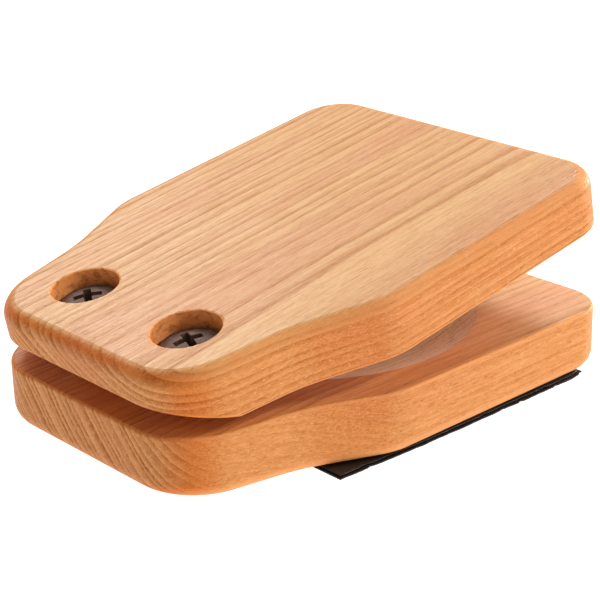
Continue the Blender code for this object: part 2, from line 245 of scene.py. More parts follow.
# Other finishes: patterns as scale per millimetre, seed, detail and roughness, and smooth steps
STEEL_MOTTLE = ((1.1, 1.1, 1.1), 1.0, 4.0, 0.65)
STEEL_GRAIN = ((9.0, 9.0, 9.0), 2.0)
STEEL_WEAR = (0.45, 0.72)
STEEL_ROUGHNESS = (0.3, 0.7, 0.42, 0.62)
STEEL_METAL = 0.25
STEEL_GLOSS = 0.15
FINE_RELIEF = 0.02 * MM
RUBBER_BLOOM = ((1.6, 1.6, 1.6), 4.0, 3.0)
RUBBER_GRAIN = ((14.0, 14.0, 14.0), 5.0)
RUBBER_DUST = (0.4, 0.75)
RUBBER_ROUGHNESS = (0.3, 0.7, 0.62, 0.85)
DUSTY = 2.2
WARP_RATE = 14.0
WEFT_RATE = 11.0
NYLON_LINT = ((2.5, 0.7, 2.5), 6.0, 3.0, 0.6)
NYLON_CUTS = (0.3, 0.8, 0.8, 0.0)
NYLON_LINTY = (0.55, 0.8, 0.0, 0.5)
NYLON_ROUGHNESS = (-1.0, 1.0, 0.55, 0.8)
NYLON_GLOSS = 0.12
NYLON_RELIEF = 0.03 * MM
GLUE_CLOUD = ((0.3, 0.3, 0.3), 8.0, 3.0)
GLUE_CLOUDY = (0.35, 0.7)
GLUE_ROUGHNESS = (0.3, 0.7, 0.25, 0.5)
CLOUDY = 1.25
PAPER_FLECK = ((0.05, 0.05, 0.05), 3.0)
PAPER_FLECKED = (0.3, 0.7)
PAPER_ROUGHNESS = 0.9
FLECKED = 0.985


def length_value(name, description, default):
    return FloatProperty(
        name=name, description=description, default=default, min=0.0, precision=5, unit="LENGTH"
    )


def angle_value(name, description, degrees):
    return FloatProperty(
        name=name, description=description, default=math.radians(degrees), subtype="ANGLE"
    )


def share_value(name, description, default):
    return FloatProperty(
        name=name, description=description, default=default, min=0.0, max=1.0, subtype="FACTOR"
    )


def colour_value(name, description, default):
    return FloatVectorProperty(
        name=name, description=description, default=default, min=0.0, max=1.0, size=3, subtype="COLOR"
    )


class PlateSettings(bpy.types.PropertyGroup):
    """Sizes and wood colours of both plates, with lengths measured from the neck end."""

    neck_end_width: length_value("Neck end width", "Width at the neck end", 44.0 * MM)
    waist_x: length_value("Waist place", "Where the neck starts to widen", 19.1 * MM)
    waist_width: length_value("Waist width", "Width where the neck starts to widen", 50.6 * MM)
    shoulder_x: length_value("Shoulder place", "Where the paddle starts", 32.3 * MM)
    shoulder_width: length_value("Shoulder width", "Width where the paddle starts", 61.6 * MM)
    far_end_width: length_value("Far end width", "Width at the wide end", 60.0 * MM)
    neck_corner: length_value("Neck corner", "Corner radius at the neck end", 10.7 * MM)
    waist_corner: length_value("Waist corner", "Radius of the hollow curve", 28.0 * MM)
    shoulder_corner: length_value("Shoulder corner", "Radius of the shoulder", 11.6 * MM)
    far_corner: length_value("Far corner", "Corner radius at the wide end", 7.8 * MM)
    upper_thickness: length_value("Upper thickness", "Thickness of the upper plate", 8.7 * MM)
    lower_edge: length_value("Lower edge", "Roundover below the lower plate", 2.75 * MM)
    upper_edge: length_value("Upper edge", "Roundover on top of the upper plate", 2.31 * MM)
    mating_edge: length_value("Mating edge", "Eased edge where the plates meet", 0.6 * MM)
    neck_bevel: angle_value("Neck bevel", "Slope under the upper plate's neck", 19.6)
    relief_x: length_value("Relief place", "Where the lower plate starts to fall off", 23.2 * MM)
    relief_slope: angle_value("Relief slope", "Fall of the lower plate's neck", 1.8)
    dish_x: length_value("Dish place", "Middle of the dishes", 43.3 * MM)
    dish_radius: length_value("Dish radius", "Radius of the dishes' rims", 25.5 * MM)
    dish_depth: length_value("Dish depth", "Depth of the dishes", 4.5 * MM)
    rim_chamfer: length_value("Rim chamfer", "Broken edge of the counterbores", 0.12 * MM)
    rim_tear: length_value("Rim tear", "Depth of the torn fibres at the counterbores", 0.40 * MM)
    ring_width: length_value("Growth ring", "Width of one growth ring", 1.2 * MM)
    # Painted shade: where the mating faces start and stop darkening towards the neck, as in the shadow of
    # the gap
    painted_shade_start: length_value("Shelter start", "Where the mating faces start to lose oil", 44.0 * MM)
    painted_shade_end: length_value("Shelter end", "Where the mating faces have lost it", 68.0 * MM)
    pale_wood: colour_value("Pale wood", "Wood between the growth lines", (0.765, 0.415, 0.170))
    line_wood: colour_value("Growth line", "Wood of the growth lines", (0.44, 0.129, 0.028))
    pink_wood: colour_value("Pink wood", "Broad pinkish bands", (0.69, 0.303, 0.134))
    fibre_tint: colour_value("Fibre tint", "Tint of the darker fibres", (0.87, 0.77, 0.65))
    grain_tint: colour_value("Grain tint", "Tint of the darker specks", (0.94, 0.89, 0.82))
    # Painted sheen: paler, greyer wood in the dishes, standing in for the reflection of the white room
    dish_painted_sheen: colour_value("Dish wood", "Bare wood of the dishes", (0.98, 0.70, 0.43))
    # Partly end grain, partly painted shade on the dish's steep far wall
    dish_end_grain_shade: colour_value("Dish end", "Tint where a dish cuts across the fibres", (0.52, 0.36, 0.25))
    # Partly fresh-cut wood, partly painted light brightening the bore walls
    bore_wood_and_light: colour_value("Bore wood", "Fresh wood in the screw bores", (1.0, 0.475, 0.16))
    pore_wood: colour_value("Pores", "Open pores", (0.34, 0.115, 0.030))
    # Flat faces stay pale: partly sanded wood, partly painted sheen
    face_tint_and_sheen: colour_value("Face tint", "Tint of the sanded faces", (0.95, 1.0, 1.0))
    # Painted shade of the gap between the plates, on the mating faces towards the neck
    gap_painted_shade: colour_value("Gap oil", "Tint of the mating faces towards the neck", (1.0, 0.74, 0.54))
    # Deeper orange on the sides: partly oil in the edges, partly painted shade against the sheen of the
    # flat faces
    edge_oil_and_shade: colour_value("Edge oil", "Tint where the edges drink the oil", (1.0, 0.81, 0.71))
    # Painted light: brighter orange on the long rounded edges, as if lit from above the front
    round_painted_light: colour_value("Rounded oil", "Wood of the rounded edges", (0.98, 0.42, 0.14))
    corner_oil: colour_value("Corner oil", "Tint where the sides turn into the ends", (1.0, 0.72, 0.48))
    end_line: colour_value("End line", "Tint of the growth lines in the end grain", (0.78, 0.70, 0.64))
    end_oil: colour_value("End grain oil", "Tint of the end grain", (1.0, 0.93, 0.92))


class ScrewSettings(bpy.types.PropertyGroup):
    """Sizes and colours of the screws."""

    place_x: length_value("Place", "Distance from the neck end", 11.7 * MM)
    spacing: length_value("Spacing", "Distance between the screws", 23.15 * MM)
    shank: length_value("Shank", "Diameter of the shank", 3.5 * MM)
    head: length_value("Head", "Diameter of the head", 8.5 * MM)
    head_edge: length_value("Head edge", "Height of the head's edge", 2.55 * MM)
    crown: length_value("Crown", "Rise of the head's crown", 0.8 * MM)
    edge_round: length_value("Edge round", "Roundover of the head's edge", 0.25 * MM)
    tip_length: length_value("Tip", "Length of the point", 2.5 * MM)
    recess_span: length_value("Recess span", "Span of the cross recess", 4.9 * MM)
    recess_slot: length_value("Recess slot", "Width of the recess arms", 1.25 * MM)
    recess_depth: length_value("Recess depth", "Depth of the cross recess", 2.0 * MM)
    thread_pitch: length_value("Thread pitch", "Pitch of the wood thread", 1.6 * MM)
    thread_depth: length_value("Thread depth", "Height of the wood thread", 0.4 * MM)
    steel: colour_value("Steel", "Blackened steel", (0.085, 0.047, 0.032))
    worn_steel: colour_value("Worn steel", "Steel where the black is rubbed", (0.16, 0.095, 0.068))


class RingSettings(bpy.types.PropertyGroup):
    """Sizes and colour of the rubber rings."""

    outer: length_value("Outer diameter", "Outer diameter of a ring", 8.0 * MM)
    inner: length_value("Bore", "Bore of a ring", 4.5 * MM)
    height: length_value("Height", "Height of a ring at rest", 2.6 * MM)
    corner: length_value("Corner", "Rounding of the ring's corners", 0.5 * MM)
    seat_gap: length_value("Seat gap", "Gap below the upper plate", 0.3 * MM)
    pressed: share_value("Pressed", "Height left when the plates are shut", 0.75)
    rubber: colour_value("Rubber", "Black rubber", (0.022, 0.021, 0.021))


class TapeSettings(bpy.types.PropertyGroup):
    """Sizes and colours of the hook tape and its adhesive."""

    backing: length_value("Backing", "Thickness of the woven backing", 0.22 * MM)
    cut_wave: length_value("Cut wave", "Unevenness of the cut edges", 0.3 * MM)
    cut_slant: length_value("Cut slant", "How far the cuts run askew", 1.2 * MM)
    hook_pitch: length_value("Hook pitch", "Distance between hooks", 0.95 * MM)
    hook_wire: length_value("Hook wire", "Radius of a hook's wire", 0.05 * MM)
    hook_margin: length_value("Hook margin", "Bare edge round the hooks", 1.6 * MM)
    nylon: colour_value("Nylon", "Black nylon", (0.012, 0.010, 0.010))
    cut_nylon: colour_value("Cut nylon", "Brownish cut edge", (0.060, 0.042, 0.034))
    glue: colour_value("Glue", "Adhesive film", (0.020, 0.017, 0.016))
    seed: IntProperty(name="Seed", description="Seed of the cut edges and hooks", default=7)


class StudioSettings(bpy.types.PropertyGroup):
    """Camera place and light of the studio."""

    target: FloatVectorProperty(
        name="Target",
        description="Point that the camera looks at, from the neck end's underside",
        default=(40.894 * MM, -0.762 * MM, 12.804 * MM),
        subtype="TRANSLATION",
        unit="LENGTH",
    )
    distance: length_value("Distance", "Distance of the camera", 271.67 * MM)
    azimuth: angle_value("Azimuth", "Turn of the camera round the castanet", -41.575)
    elevation: angle_value("Elevation", "Height angle of the camera", 21.555)
    roll: angle_value("Roll", "Roll of the camera", -1.436)
    lens: FloatProperty(name="Lens", description="Focal length", default=108.17, subtype="DISTANCE_CAMERA")
    sky: FloatProperty(name="Sky", description="Strength of the even white light", default=0.21, min=0.0)
    paper: colour_value("Paper", "Pale floor", (0.30, 0.30, 0.30))
    glow: FloatProperty(name="Glow", description="Light of the floor itself", default=1.09, min=0.0)


# Small builders for meshes


def link_object(name, data):
    obj = bpy.data.objects.new(name, data)
    bpy.context.scene.collection.objects.link(obj)
    return obj


def evaluated_mesh(obj, name):
    """Plain mesh of an object with its modifiers, in the frame's place. The object is removed."""
    bpy.context.view_layer.update()
    evaluated = obj.evaluated_get(bpy.context.evaluated_depsgraph_get())
    mesh = bpy.data.meshes.new_from_object(evaluated)
    mesh.transform(obj.matrix_world)
    bpy.data.objects.remove(obj)
    mesh.name = name
    return mesh


def clean_mesh(mesh, outward=True):
    shape = bmesh.new()
    shape.from_mesh(mesh)
    bmesh.ops.remove_doubles(shape, verts=shape.verts, dist=WELD)
    bmesh.ops.dissolve_degenerate(shape, edges=shape.edges, dist=WELD)
    if outward:
        bmesh.ops.recalc_face_normals(shape, faces=shape.faces)
    shape.to_mesh(mesh)
    shape.free()
    return mesh


def slab_mesh(name, outline, low, high):
    """Flat slab of an outline between two heights, with each flat face in one piece."""
    curve = bpy.data.curves.new(name, "CURVE")
    curve.dimensions = "2D"
    curve.fill_mode = "BOTH"
    curve.extrude = (high - low) / 2
    spline = curve.splines.new("POLY")
    spline.points.add(len(outline) - 1)
    for point, place in zip(spline.points, outline):
        point.co = (place.x, place.y, 0, 1)
    spline.use_cyclic_u = True
    mesh = clean_mesh(evaluated_mesh(link_object(name, curve), name))
    mesh.transform(Matrix.Translation((0, 0, (low + high) / 2)))
    shape = bmesh.new()
    shape.from_mesh(mesh)
    bmesh.ops.dissolve_limit(shape, angle_limit=FLAT_ANGLE, verts=shape.verts, edges=shape.edges)
    shape.to_mesh(mesh)
    shape.free()
    return mesh


def turned_mesh(name, profile, steps, closed=False):
    """Profile of (radius, height) points, top to bottom, turned about Z."""
    outline = bmesh.new()
    verts = [outline.verts.new((radius, 0, height)) for radius, height in profile]
    for start, end in zip(verts, verts[1:]):
        outline.edges.new((start, end))
    if closed:
        outline.edges.new((verts[-1], verts[0]))
    mesh = bpy.data.meshes.new(name)
    outline.to_mesh(mesh)
    outline.free()
    obj = link_object(name, mesh)
    screw = obj.modifiers.new("turn", "SCREW")
    screw.steps = steps
    screw.render_steps = steps
    screw.use_merge_vertices = True
    screw.merge_threshold = WELD
    return clean_mesh(evaluated_mesh(obj, name))


def arc(centre, radius, start, end, steps):
    """Points of (radius, height) along an arc between two angles, in degrees."""
    turns = [math.radians(start + (end - start) * i / steps) for i in range(steps + 1)]
    return [(centre[0] + radius * math.cos(t), centre[1] + radius * math.sin(t)) for t in turns]


def round_corner(before, corner, after, radius, steps):
    """Points of the arc that rounds a corner, from its first edge to its second."""
    to_before = (before - corner).normalized()
    to_after = (after - corner).normalized()
    half_angle = to_before.angle(to_after) / 2
    tangent = radius / math.tan(half_angle)
    centre = corner + (to_before + to_after).normalized() * (radius / math.sin(half_angle))
    start = corner + to_before * tangent - centre
    end = corner + to_after * tangent - centre
    sweep = start.angle_signed(end)
    turns = [Matrix.Rotation(-sweep * i / steps, 2) for i in range(steps + 1)]
    return [centre + turn @ start for turn in turns]


def carve(obj, name, mesh, place):
    """Cuts a mesh out of an object. The caller removes the cutter once the result is a mesh."""
    tool = link_object(name, mesh)
    tool.matrix_world = place
    boolean = obj.modifiers.new(name, "BOOLEAN")
    boolean.operation = "DIFFERENCE"
    boolean.solver = "EXACT"
    boolean.object = tool
    return tool


def shaded(mesh, name, sharp):
    """Smooth mesh whose flat faces stay flat and whose edges stay sharp from an angle on."""
    mesh.shade_smooth()
    mesh.set_sharp_from_angle(angle=sharp)
    obj = link_object(name, mesh)
    weighted = obj.modifiers.new("flat_faces", "WEIGHTED_NORMAL")
    weighted.keep_sharp = True
    return evaluated_mesh(obj, name)


def add_piece(name, mesh, material, body, node):
    """Finished piece at the origin that rides on a body and stands for a CAD node."""
    mesh.materials.clear()
    mesh.materials.append(material)
    piece = link_object(name, mesh)
    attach(piece, body)
    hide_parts(node)
    return piece


# Small builders for node trees


def put(tree, kind, sockets=(), **settings):
    """New node. Each named socket takes a value or the output of another node."""
    node = tree.nodes.new(kind)
    for name, value in settings.items():
        setattr(node, name, value)
    for key, value in dict(sockets).items():
        if isinstance(value, bpy.types.NodeSocket):
            tree.links.new(value, node.inputs[key])
        else:
            node.inputs[key].default_value = value
    return node


def calc(tree, operation, *values):
    return put(tree, "ShaderNodeMath", enumerate(values), operation=operation).outputs[0]


def vector(tree, operation, *values):
    node = put(tree, "ShaderNodeVectorMath", enumerate(values), operation=operation)
    return node.outputs["Vector"]


def ramp(tree, value, start, end, low=0.0, high=1.0):
    """Smooth step of a value from low to high."""
    sockets = {"Value": value, "From Min": start, "From Max": end, "To Min": low, "To Max": high}
    return put(tree, "ShaderNodeMapRange", sockets, interpolation_type="SMOOTHSTEP").outputs["Result"]


def noise(tree, place, seed, detail=2.0, roughness=0.5):
    sockets = {"Vector": place, "W": seed, "Scale": 1.0, "Detail": detail, "Roughness": roughness}
    return put(tree, "ShaderNodeTexNoise", sockets, noise_dimensions="4D").outputs["Fac"]


def mix(tree, blend, share, first, second):
    node = put(tree, "ShaderNodeMix", {0: share}, data_type="RGBA", blend_type=blend)
    for index, value in ((6, first), (7, second)):
        if isinstance(value, bpy.types.NodeSocket):
            tree.links.new(value, node.inputs[index])
        else:
            node.inputs[index].default_value = (*value, 1)
    return node.outputs[2]


def new_finish(name):
    """Material with its tree and its Principled shader."""
    material = bpy.data.materials.new(name)
    material.use_nodes = True
    tree = material.node_tree
    return material, tree, tree.nodes["Principled BSDF"]


def pattern(tree, place, scale, seed, detail=2.0, roughness=0.5):
    """Noise with a scale of its own along each axis."""
    return noise(tree, vector(tree, "MULTIPLY", place, scale), seed, detail, roughness)


def split(tree, value):
    """Outputs X, Y and Z of a vector."""
    return put(tree, "ShaderNodeSeparateXYZ", {0: value}).outputs


def in_mm(tree, place):
    sockets = {"Vector": place, "Scale": 1 / MM}
    return put(tree, "ShaderNodeVectorMath", sockets, operation="SCALE").outputs["Vector"]


def object_mm(tree):
    """Object coordinates in millimetres."""
    return in_mm(tree, put(tree, "ShaderNodeTexCoord").outputs["Object"])


def scaled(colour, factor):
    """Colour made lighter or darker."""
    return tuple(min(1.0, factor * channel) for channel in colour)


def bump(tree, shader, height, depth, strength=1.0):
    sockets = {"Height": height, "Distance": depth, "Strength": strength}
    node = put(tree, "ShaderNodeBump", sockets)
    tree.links.new(node.outputs["Normal"], shader.inputs["Normal"])


def new_generator(name, sockets):
    """Geometry node tree with named inputs. Returns it with the inputs' identifiers."""
    tree = bpy.data.node_groups.new(name, "GeometryNodeTree")
    tree.interface.new_socket(name="Geometry", in_out="OUTPUT", socket_type="NodeSocketGeometry")
    inputs = {}
    for label, kind in sockets:
        item = tree.interface.new_socket(name=label, in_out="INPUT", socket_type="NodeSocket" + kind)
        inputs[label] = item.identifier
    return tree, inputs, put(tree, "NodeGroupInput").outputs


def close_generator(tree, geometry, material):
    """Makes instances real and sets their material at the end of a tree."""
    real = put(tree, "GeometryNodeRealizeInstances", {"Geometry": geometry})
    finished = put(tree, "GeometryNodeSetMaterial", {"Geometry": real.outputs[0], "Material": material})
    put(tree, "NodeGroupOutput", {"Geometry": finished.outputs[0]})


def generated_mesh(name, tree, inputs, values, place):
    """Plain mesh that a tree makes from its values, moved to a place."""
    obj = link_object(name, bpy.data.meshes.new(name))
    modifier = obj.modifiers.new(name, "NODES")
    modifier.node_group = tree
    for label, value in values.items():
        modifier[inputs[label]] = value
    obj.matrix_world = place
    return evaluated_mesh(obj, name)


# Wood of the plates


def levelled(tree, value, centre, lift):
    """Place or direction turned back about a centre, as if the open plate lay level."""
    sockets = {"Vector": value, "Center": centre, "Angle": lift}
    return put(tree, "ShaderNodeVectorRotate", sockets, rotation_type="Y_AXIS").outputs["Vector"]


def round_mask(tree, place, centre, radius):
    """One within a radius of an upright axis and nothing elsewhere. The place is in millimetres."""
    middle = (centre[0] / MM, centre[1] / MM, 0)
    offset = vector(tree, "SUBTRACT", vector(tree, "MULTIPLY", place, (1, 1, 0)), middle)
    distance = put(tree, "ShaderNodeVectorMath", {0: offset}, operation="LENGTH").outputs["Value"]
    return calc(tree, "LESS_THAN", distance, radius / MM)


def wood_masks(tree, plates, screws, lift, place, axes):
    """Masks of a plate's dish, flat and shiny faces, edges, ends, long sides, painted gap shade and screw
    bores.
    """
    spot = split(tree, place)
    face_z = PIVOT.z - SEAT_THICKNESS if lift else LOWER_HIGH.z
    depth = calc(tree, "ABSOLUTE", calc(tree, "SUBTRACT", spot["Z"], face_z / MM))
    near_face = calc(tree, "LESS_THAN", depth, (plates.dish_depth + CLEARANCE) / MM)
    dish = round_mask(tree, place, (NECK_X + plates.dish_x, 0), plates.dish_radius)
    dish = calc(tree, "MULTIPLY", dish, near_face)
    flat = calc(tree, "MAXIMUM", ramp(tree, axes["Z"], *FLAT_FACE), dish)
    edge = calc(tree, "SUBTRACT", 1.0, flat)
    end = ramp(tree, axes["X"], *END_FACE)
    # Painted shade of the gap: full towards the neck, fading out towards the wide end
    gap_shade = [(NECK_X + x) / MM for x in (plates.painted_shade_start, plates.painted_shade_end)]
    gap_shade_fade = ramp(tree, spot["X"], *gap_shade, 1.0, 0.0)
    bore_places = [(NECK_X + screws.place_x, sign * screws.spacing / 2) for sign in SIDES.values()]
    bores = [round_mask(tree, place, centre, BORE_REACH * screws.head) for centre in bore_places]
    return {
        "dish": dish,
        "flat": flat,
        "shine": calc(tree, "MAXIMUM", ramp(tree, axes["Z"], *SHINY_FACE), dish),
        "edge": edge,
        "end": end,
        "long_side": calc(tree, "MULTIPLY", edge, calc(tree, "SUBTRACT", 1.0, end)),
        "gap_shade": calc(tree, "MULTIPLY", calc(tree, "SUBTRACT", near_face, dish), gap_shade_fade),
        "bore": calc(tree, "MULTIPLY", edge, calc(tree, "MAXIMUM", *bores)),
    }


def growth_lines(tree, plates, place, patterns, pith, end, seed):
    """Lines of growth rings of uneven width about a pith, slightly wavy, that fade on one side."""
    wobble = calc(tree, "MULTIPLY", calc(tree, "SUBTRACT", patterns["wave"], 0.5), RING_WAVE)
    sockets = {0: vector(tree, "MULTIPLY", place, (0, 1, 1)), 1: (0, *pith)}
    radius = put(tree, "ShaderNodeVectorMath", sockets, operation="DISTANCE").outputs["Value"]
    radius = calc(tree, "ADD", radius, wobble)
    change = put(tree, "ShaderNodeCombineXYZ", {"X": calc(tree, "MULTIPLY", radius, RING_CHANGE)})
    uneven = calc(tree, "MULTIPLY", noise(tree, change.outputs[0], seed + 1, 1.0), RING_UNEVEN)
    rings = calc(tree, "ADD", calc(tree, "DIVIDE", radius, plates.ring_width / MM), uneven)
    phase = calc(tree, "FRACT", rings)
    sockets = {"W": calc(tree, "ADD", calc(tree, "FLOOR", rings), seed)}
    strength = put(tree, "ShaderNodeTexWhiteNoise", sockets, noise_dimensions="1D").outputs["Value"]
    line = calc(tree, "POWER", calc(tree, "SUBTRACT", 1.0, phase), ramp(tree, end, *LINE_FADE))
    line = calc(tree, "MULTIPLY", line, ramp(tree, phase, *LINE_START))
    line = calc(tree, "MULTIPLY", line, ramp(tree, strength, *LINE_STRENGTH))
    return calc(tree, "MULTIPLY", line, ramp(tree, patterns["broken"], *LINE_BREAKS))


def open_pores(tree, patterns, masks, line, side_lines):
    """Pores, most of them in the growth lines, and short dashes on the long sides and in the dish."""
    pores = ramp(tree, patterns["pore"], *PORES)
    pores = calc(tree, "MULTIPLY", pores, ramp(tree, line, *PORES_IN_LINES))
    on_sides = calc(tree, "MULTIPLY", masks["long_side"], SIDE_DASHES - LINE_DASHES * side_lines)
    speckled = calc(tree, "MAXIMUM", on_sides, masks["dish"])
    dashes = calc(tree, "MULTIPLY", ramp(tree, patterns["dash"], *DASHES), speckled)
    return calc(tree, "MAXIMUM", pores, dashes)


def bare_wood(tree, plates, axes, patterns, masks, line, pores):
    """Colour of the wood with its lines, bands, fibres, specks and pores, before the oil."""
    # Painted sheen: the dishes are paler and greyer, as a reflection of the white room
    dish_sheen_share = calc(tree, "MULTIPLY", masks["dish"], DISH_SHEEN_SHARE)
    colour = mix(tree, "MIX", dish_sheen_share, plates.pale_wood, plates.dish_painted_sheen)
    colour = mix(tree, "MIX", line, colour, plates.line_wood)
    colour = mix(tree, "MIX", ramp(tree, patterns["band"], *BANDS), colour, plates.pink_wood)
    colour = mix(tree, "MULTIPLY", ramp(tree, patterns["fibre"], *FIBRES), colour, plates.fibre_tint)
    colour = mix(tree, "MULTIPLY", ramp(tree, patterns["grain"], *GRAINS), colour, plates.grain_tint)
    # Dish darker where it cuts across the fibres: partly end grain, partly painted shade on its steep far
    # wall
    end_grain_shade = calc(tree, "MULTIPLY", masks["dish"], ramp(tree, axes["X"], *DISH_END_SHADE))
    colour = mix(tree, "MULTIPLY", end_grain_shade, colour, plates.dish_end_grain_shade)
    return mix(tree, "MIX", calc(tree, "MULTIPLY", pores, PORE_SHARE), colour, plates.pore_wood)


def oiled_colour(tree, plates, axes, patterns, masks, line, wood):
    """Colour of the wood with oil soaked into its sides and ends, painted sheen left on the flat faces,
    painted light on the long rounded edges, painted shade on the mating faces towards the neck, and fresh
    bores partly brightened with painted light.
    """
    side = mix(tree, "MULTIPLY", 1.0, wood, plates.edge_oil_and_shade)
    # Painted light on the long rounded edges, kept off the ends
    rounded = ramp(tree, axes["Z"], *LIT_ROUND_BAND)
    rounded = calc(tree, "MULTIPLY", rounded, ramp(tree, axes["Y"], *SIDE_FACE))
    side = mix(tree, "MIX", rounded, side, plates.round_painted_light)
    side = mix(tree, "MIX", ramp(tree, patterns["fleck"], *FLECKS), side, plates.pale_wood)
    end_grain = mix(tree, "MULTIPLY", 1.0, wood, plates.end_oil)
    end_grain = mix(tree, "MULTIPLY", line, end_grain, plates.end_line)
    oiled = mix(tree, "MIX", masks["end"], side, end_grain)
    corner = ramp(tree, axes["X"], *CORNER_RISE)
    corner = calc(tree, "MULTIPLY", corner, ramp(tree, axes["X"], *CORNER_FALL))
    oiled = mix(tree, "MULTIPLY", corner, oiled, plates.corner_oil)
    face = mix(tree, "MULTIPLY", 1.0, wood, plates.face_tint_and_sheen)
    # Painted shade of the gap on the mating faces towards the neck
    face = mix(tree, "MULTIPLY", masks["gap_shade"], face, plates.gap_painted_shade)
    # Pale flat faces and deeper orange edges: partly oil, partly painted sheen on the flat faces
    colour = mix(tree, "MIX", masks["edge"], face, oiled)
    # Fresh bores: partly fresh-cut wood, partly painted light on the bore walls
    fresh = mix(tree, "MULTIPLY", FRESH_SHARE, plates.bore_wood_and_light, colour)
    fresh = mix(tree, "MIX", ramp(tree, patterns["scorch"], *SCORCH), fresh, plates.pore_wood)
    return mix(tree, "MIX", masks["bore"], colour, fresh)


def oiled_wood(name, plates, screws, lift, pith, side_lines, seed):
    """Oiled hardwood with growth rings about a pith line along the plate, fibres, pores and end grain.

    The values after the settings are those of a plate's cut.
    """
    material, tree, shader = new_finish(name)
    coordinates = put(tree, "ShaderNodeTexCoord").outputs["Object"]
    place = in_mm(tree, levelled(tree, coordinates, PIVOT, lift))
    normal = put(tree, "ShaderNodeNewGeometry").outputs["Normal"]
    axes = split(tree, vector(tree, "ABSOLUTE", levelled(tree, normal, (0, 0, 0), lift)))
    masks = wood_masks(tree, plates, screws, lift, place, axes)
    patterns = {
        key: pattern(tree, place, scale, seed + step, detail, roughness)
        for key, (scale, step, detail, roughness) in WOOD_PATTERNS.items()
    }
    line = growth_lines(tree, plates, place, patterns, pith, masks["end"], seed)
    line = calc(tree, "MULTIPLY", line, ramp(tree, masks["long_side"], 0.0, 1.0, 1.0, side_lines))
    line = calc(tree, "MINIMUM", line, ramp(tree, masks["flat"], *FACE_LINES))
    pores = open_pores(tree, patterns, masks, line, side_lines)
    wood = bare_wood(tree, plates, axes, patterns, masks, line, pores)
    colour = oiled_colour(tree, plates, axes, patterns, masks, line, wood)
    tree.links.new(colour, shader.inputs["Base Color"])
    fibre = patterns["fibre"]
    tree.links.new(ramp(tree, fibre, *WOOD_ROUGHNESS), shader.inputs["Roughness"])
    gloss = ramp(tree, masks["shine"], *WOOD_GLOSS)
    gloss = calc(tree, "MULTIPLY", gloss, ramp(tree, line, *DULL_LINES))
    gloss = calc(tree, "MULTIPLY", gloss, ramp(tree, fibre, *DULL_FIBRES))
    tree.links.new(gloss, shader.inputs["Specular IOR Level"])
    relief = calc(tree, "MULTIPLY", fibre, FIBRE_RELIEF)
    relief = calc(tree, "SUBTRACT", relief, calc(tree, "ADD", pores, line))
    bump(tree, shader, relief, WOOD_RELIEF)
    return material


# Plates


def plate_outline(plates):
    """Outline of a plate, from the neck end round to the wide end and back."""
    corners = [
        (0, 0),
        (0, plates.neck_end_width / 2),
        (plates.waist_x, plates.waist_width / 2),
        (plates.shoulder_x, plates.shoulder_width / 2),
        (PLATE_LENGTH, plates.far_end_width / 2),
        (PLATE_LENGTH, 0),
    ]
    points = [Vector(corner) for corner in corners]
    radii = [plates.neck_corner, plates.waist_corner, plates.shoulder_corner, plates.far_corner]
    steps = [CORNER_STEPS, CURVE_STEPS, CURVE_STEPS, CORNER_STEPS]
    half = []
    for i, (radius, count) in enumerate(zip(radii, steps)):
        half += round_corner(points[i], points[i + 1], points[i + 2], radius, count)
    return half + [Vector((point.x, -point.y)) for point in reversed(half)]


def neck_wedge(name, plates, start_x, slope, face_z, up):
    """Box whose face starts at a line across the neck and falls off towards the neck end."""
    height = LOWER_THICKNESS + plates.upper_thickness
    size = Vector((PLATE_LENGTH, plates.shoulder_width + 2 * CUT_MARGIN, height))
    centre = Vector((CUT_MARGIN - size.x / 2, 0, up * size.z / 2))
    shape = bmesh.new()
    bmesh.ops.create_cube(shape, size=1.0, matrix=Matrix.LocRotScale(centre, None, size))
    mesh = bpy.data.meshes.new(name)
    shape.to_mesh(mesh)
    shape.free()
    mesh.transform(Matrix.Rotation(-up * slope, 4, "Y"))
    mesh.transform(Matrix.Translation((start_x, 0, face_z)))
    return mesh


def dish_profile(plates):
    """Dish below z = 0, with its rim at z = 0 and a straight wall above it."""
    sphere = (plates.dish_radius ** 2 + plates.dish_depth ** 2) / (2 * plates.dish_depth)
    half_angle = math.asin(plates.dish_radius / sphere)
    points = [(0, CUT_MARGIN), (plates.dish_radius, CUT_MARGIN)]
    for i in range(DISH_RINGS + 1):
        angle = half_angle * (1 - i / DISH_RINGS)
        height = sphere * (1 - math.cos(angle)) - plates.dish_depth
        points.append((sphere * math.sin(angle), height))
    return points


def head_lift(screws):
    """Height of a head's underside above its seat, which lets the plate rock below it."""
    return (screws.head / 2 - (screws.place_x - RIDGE_X)) * SWING + CLEARANCE


def counterbore_mesh(name, plates, screws, seed):
    """Stepped bore with a broken, torn rim. Fibres tear most where the drill cuts across them."""
    wide = screws.head / 2 + (head_lift(screws) + screws.head_edge) * SWING + HEAD_SIDE_GAP
    narrow = screws.shank / 2 + SEAT_THICKNESS * SWING + CLEARANCE
    face = plates.upper_thickness - SEAT_THICKNESS
    broken = wide + plates.rim_chamfer
    profile = [
        (0, face + CUT_MARGIN),
        (broken, face + CUT_MARGIN),
        (broken, face),
        (wide, face - plates.rim_chamfer),
        (wide, 0),
        (narrow, 0),
        (narrow, -SEAT_THICKNESS - CUT_MARGIN),
        (0, -SEAT_THICKNESS - CUT_MARGIN),
    ]
    mesh = turned_mesh(name, profile, BORE_STEPS)
    draw = random.Random(seed)
    tears = [draw.random() ** 2 for _ in range(BORE_STEPS)]
    for vert in mesh.vertices:
        turn = math.atan2(vert.co.y, vert.co.x)
        step = round(turn / (2 * math.pi) * BORE_STEPS) % BORE_STEPS
        if vert.co.z > face - plates.rim_chamfer / 2 and vert.co.xy.length > wide:
            across = TEAR_ALONG + (1 - TEAR_ALONG) * abs(math.cos(turn))
            torn = plates.rim_tear * tears[step] * across
            vert.co.xy *= 1 + torn / broken
    return mesh


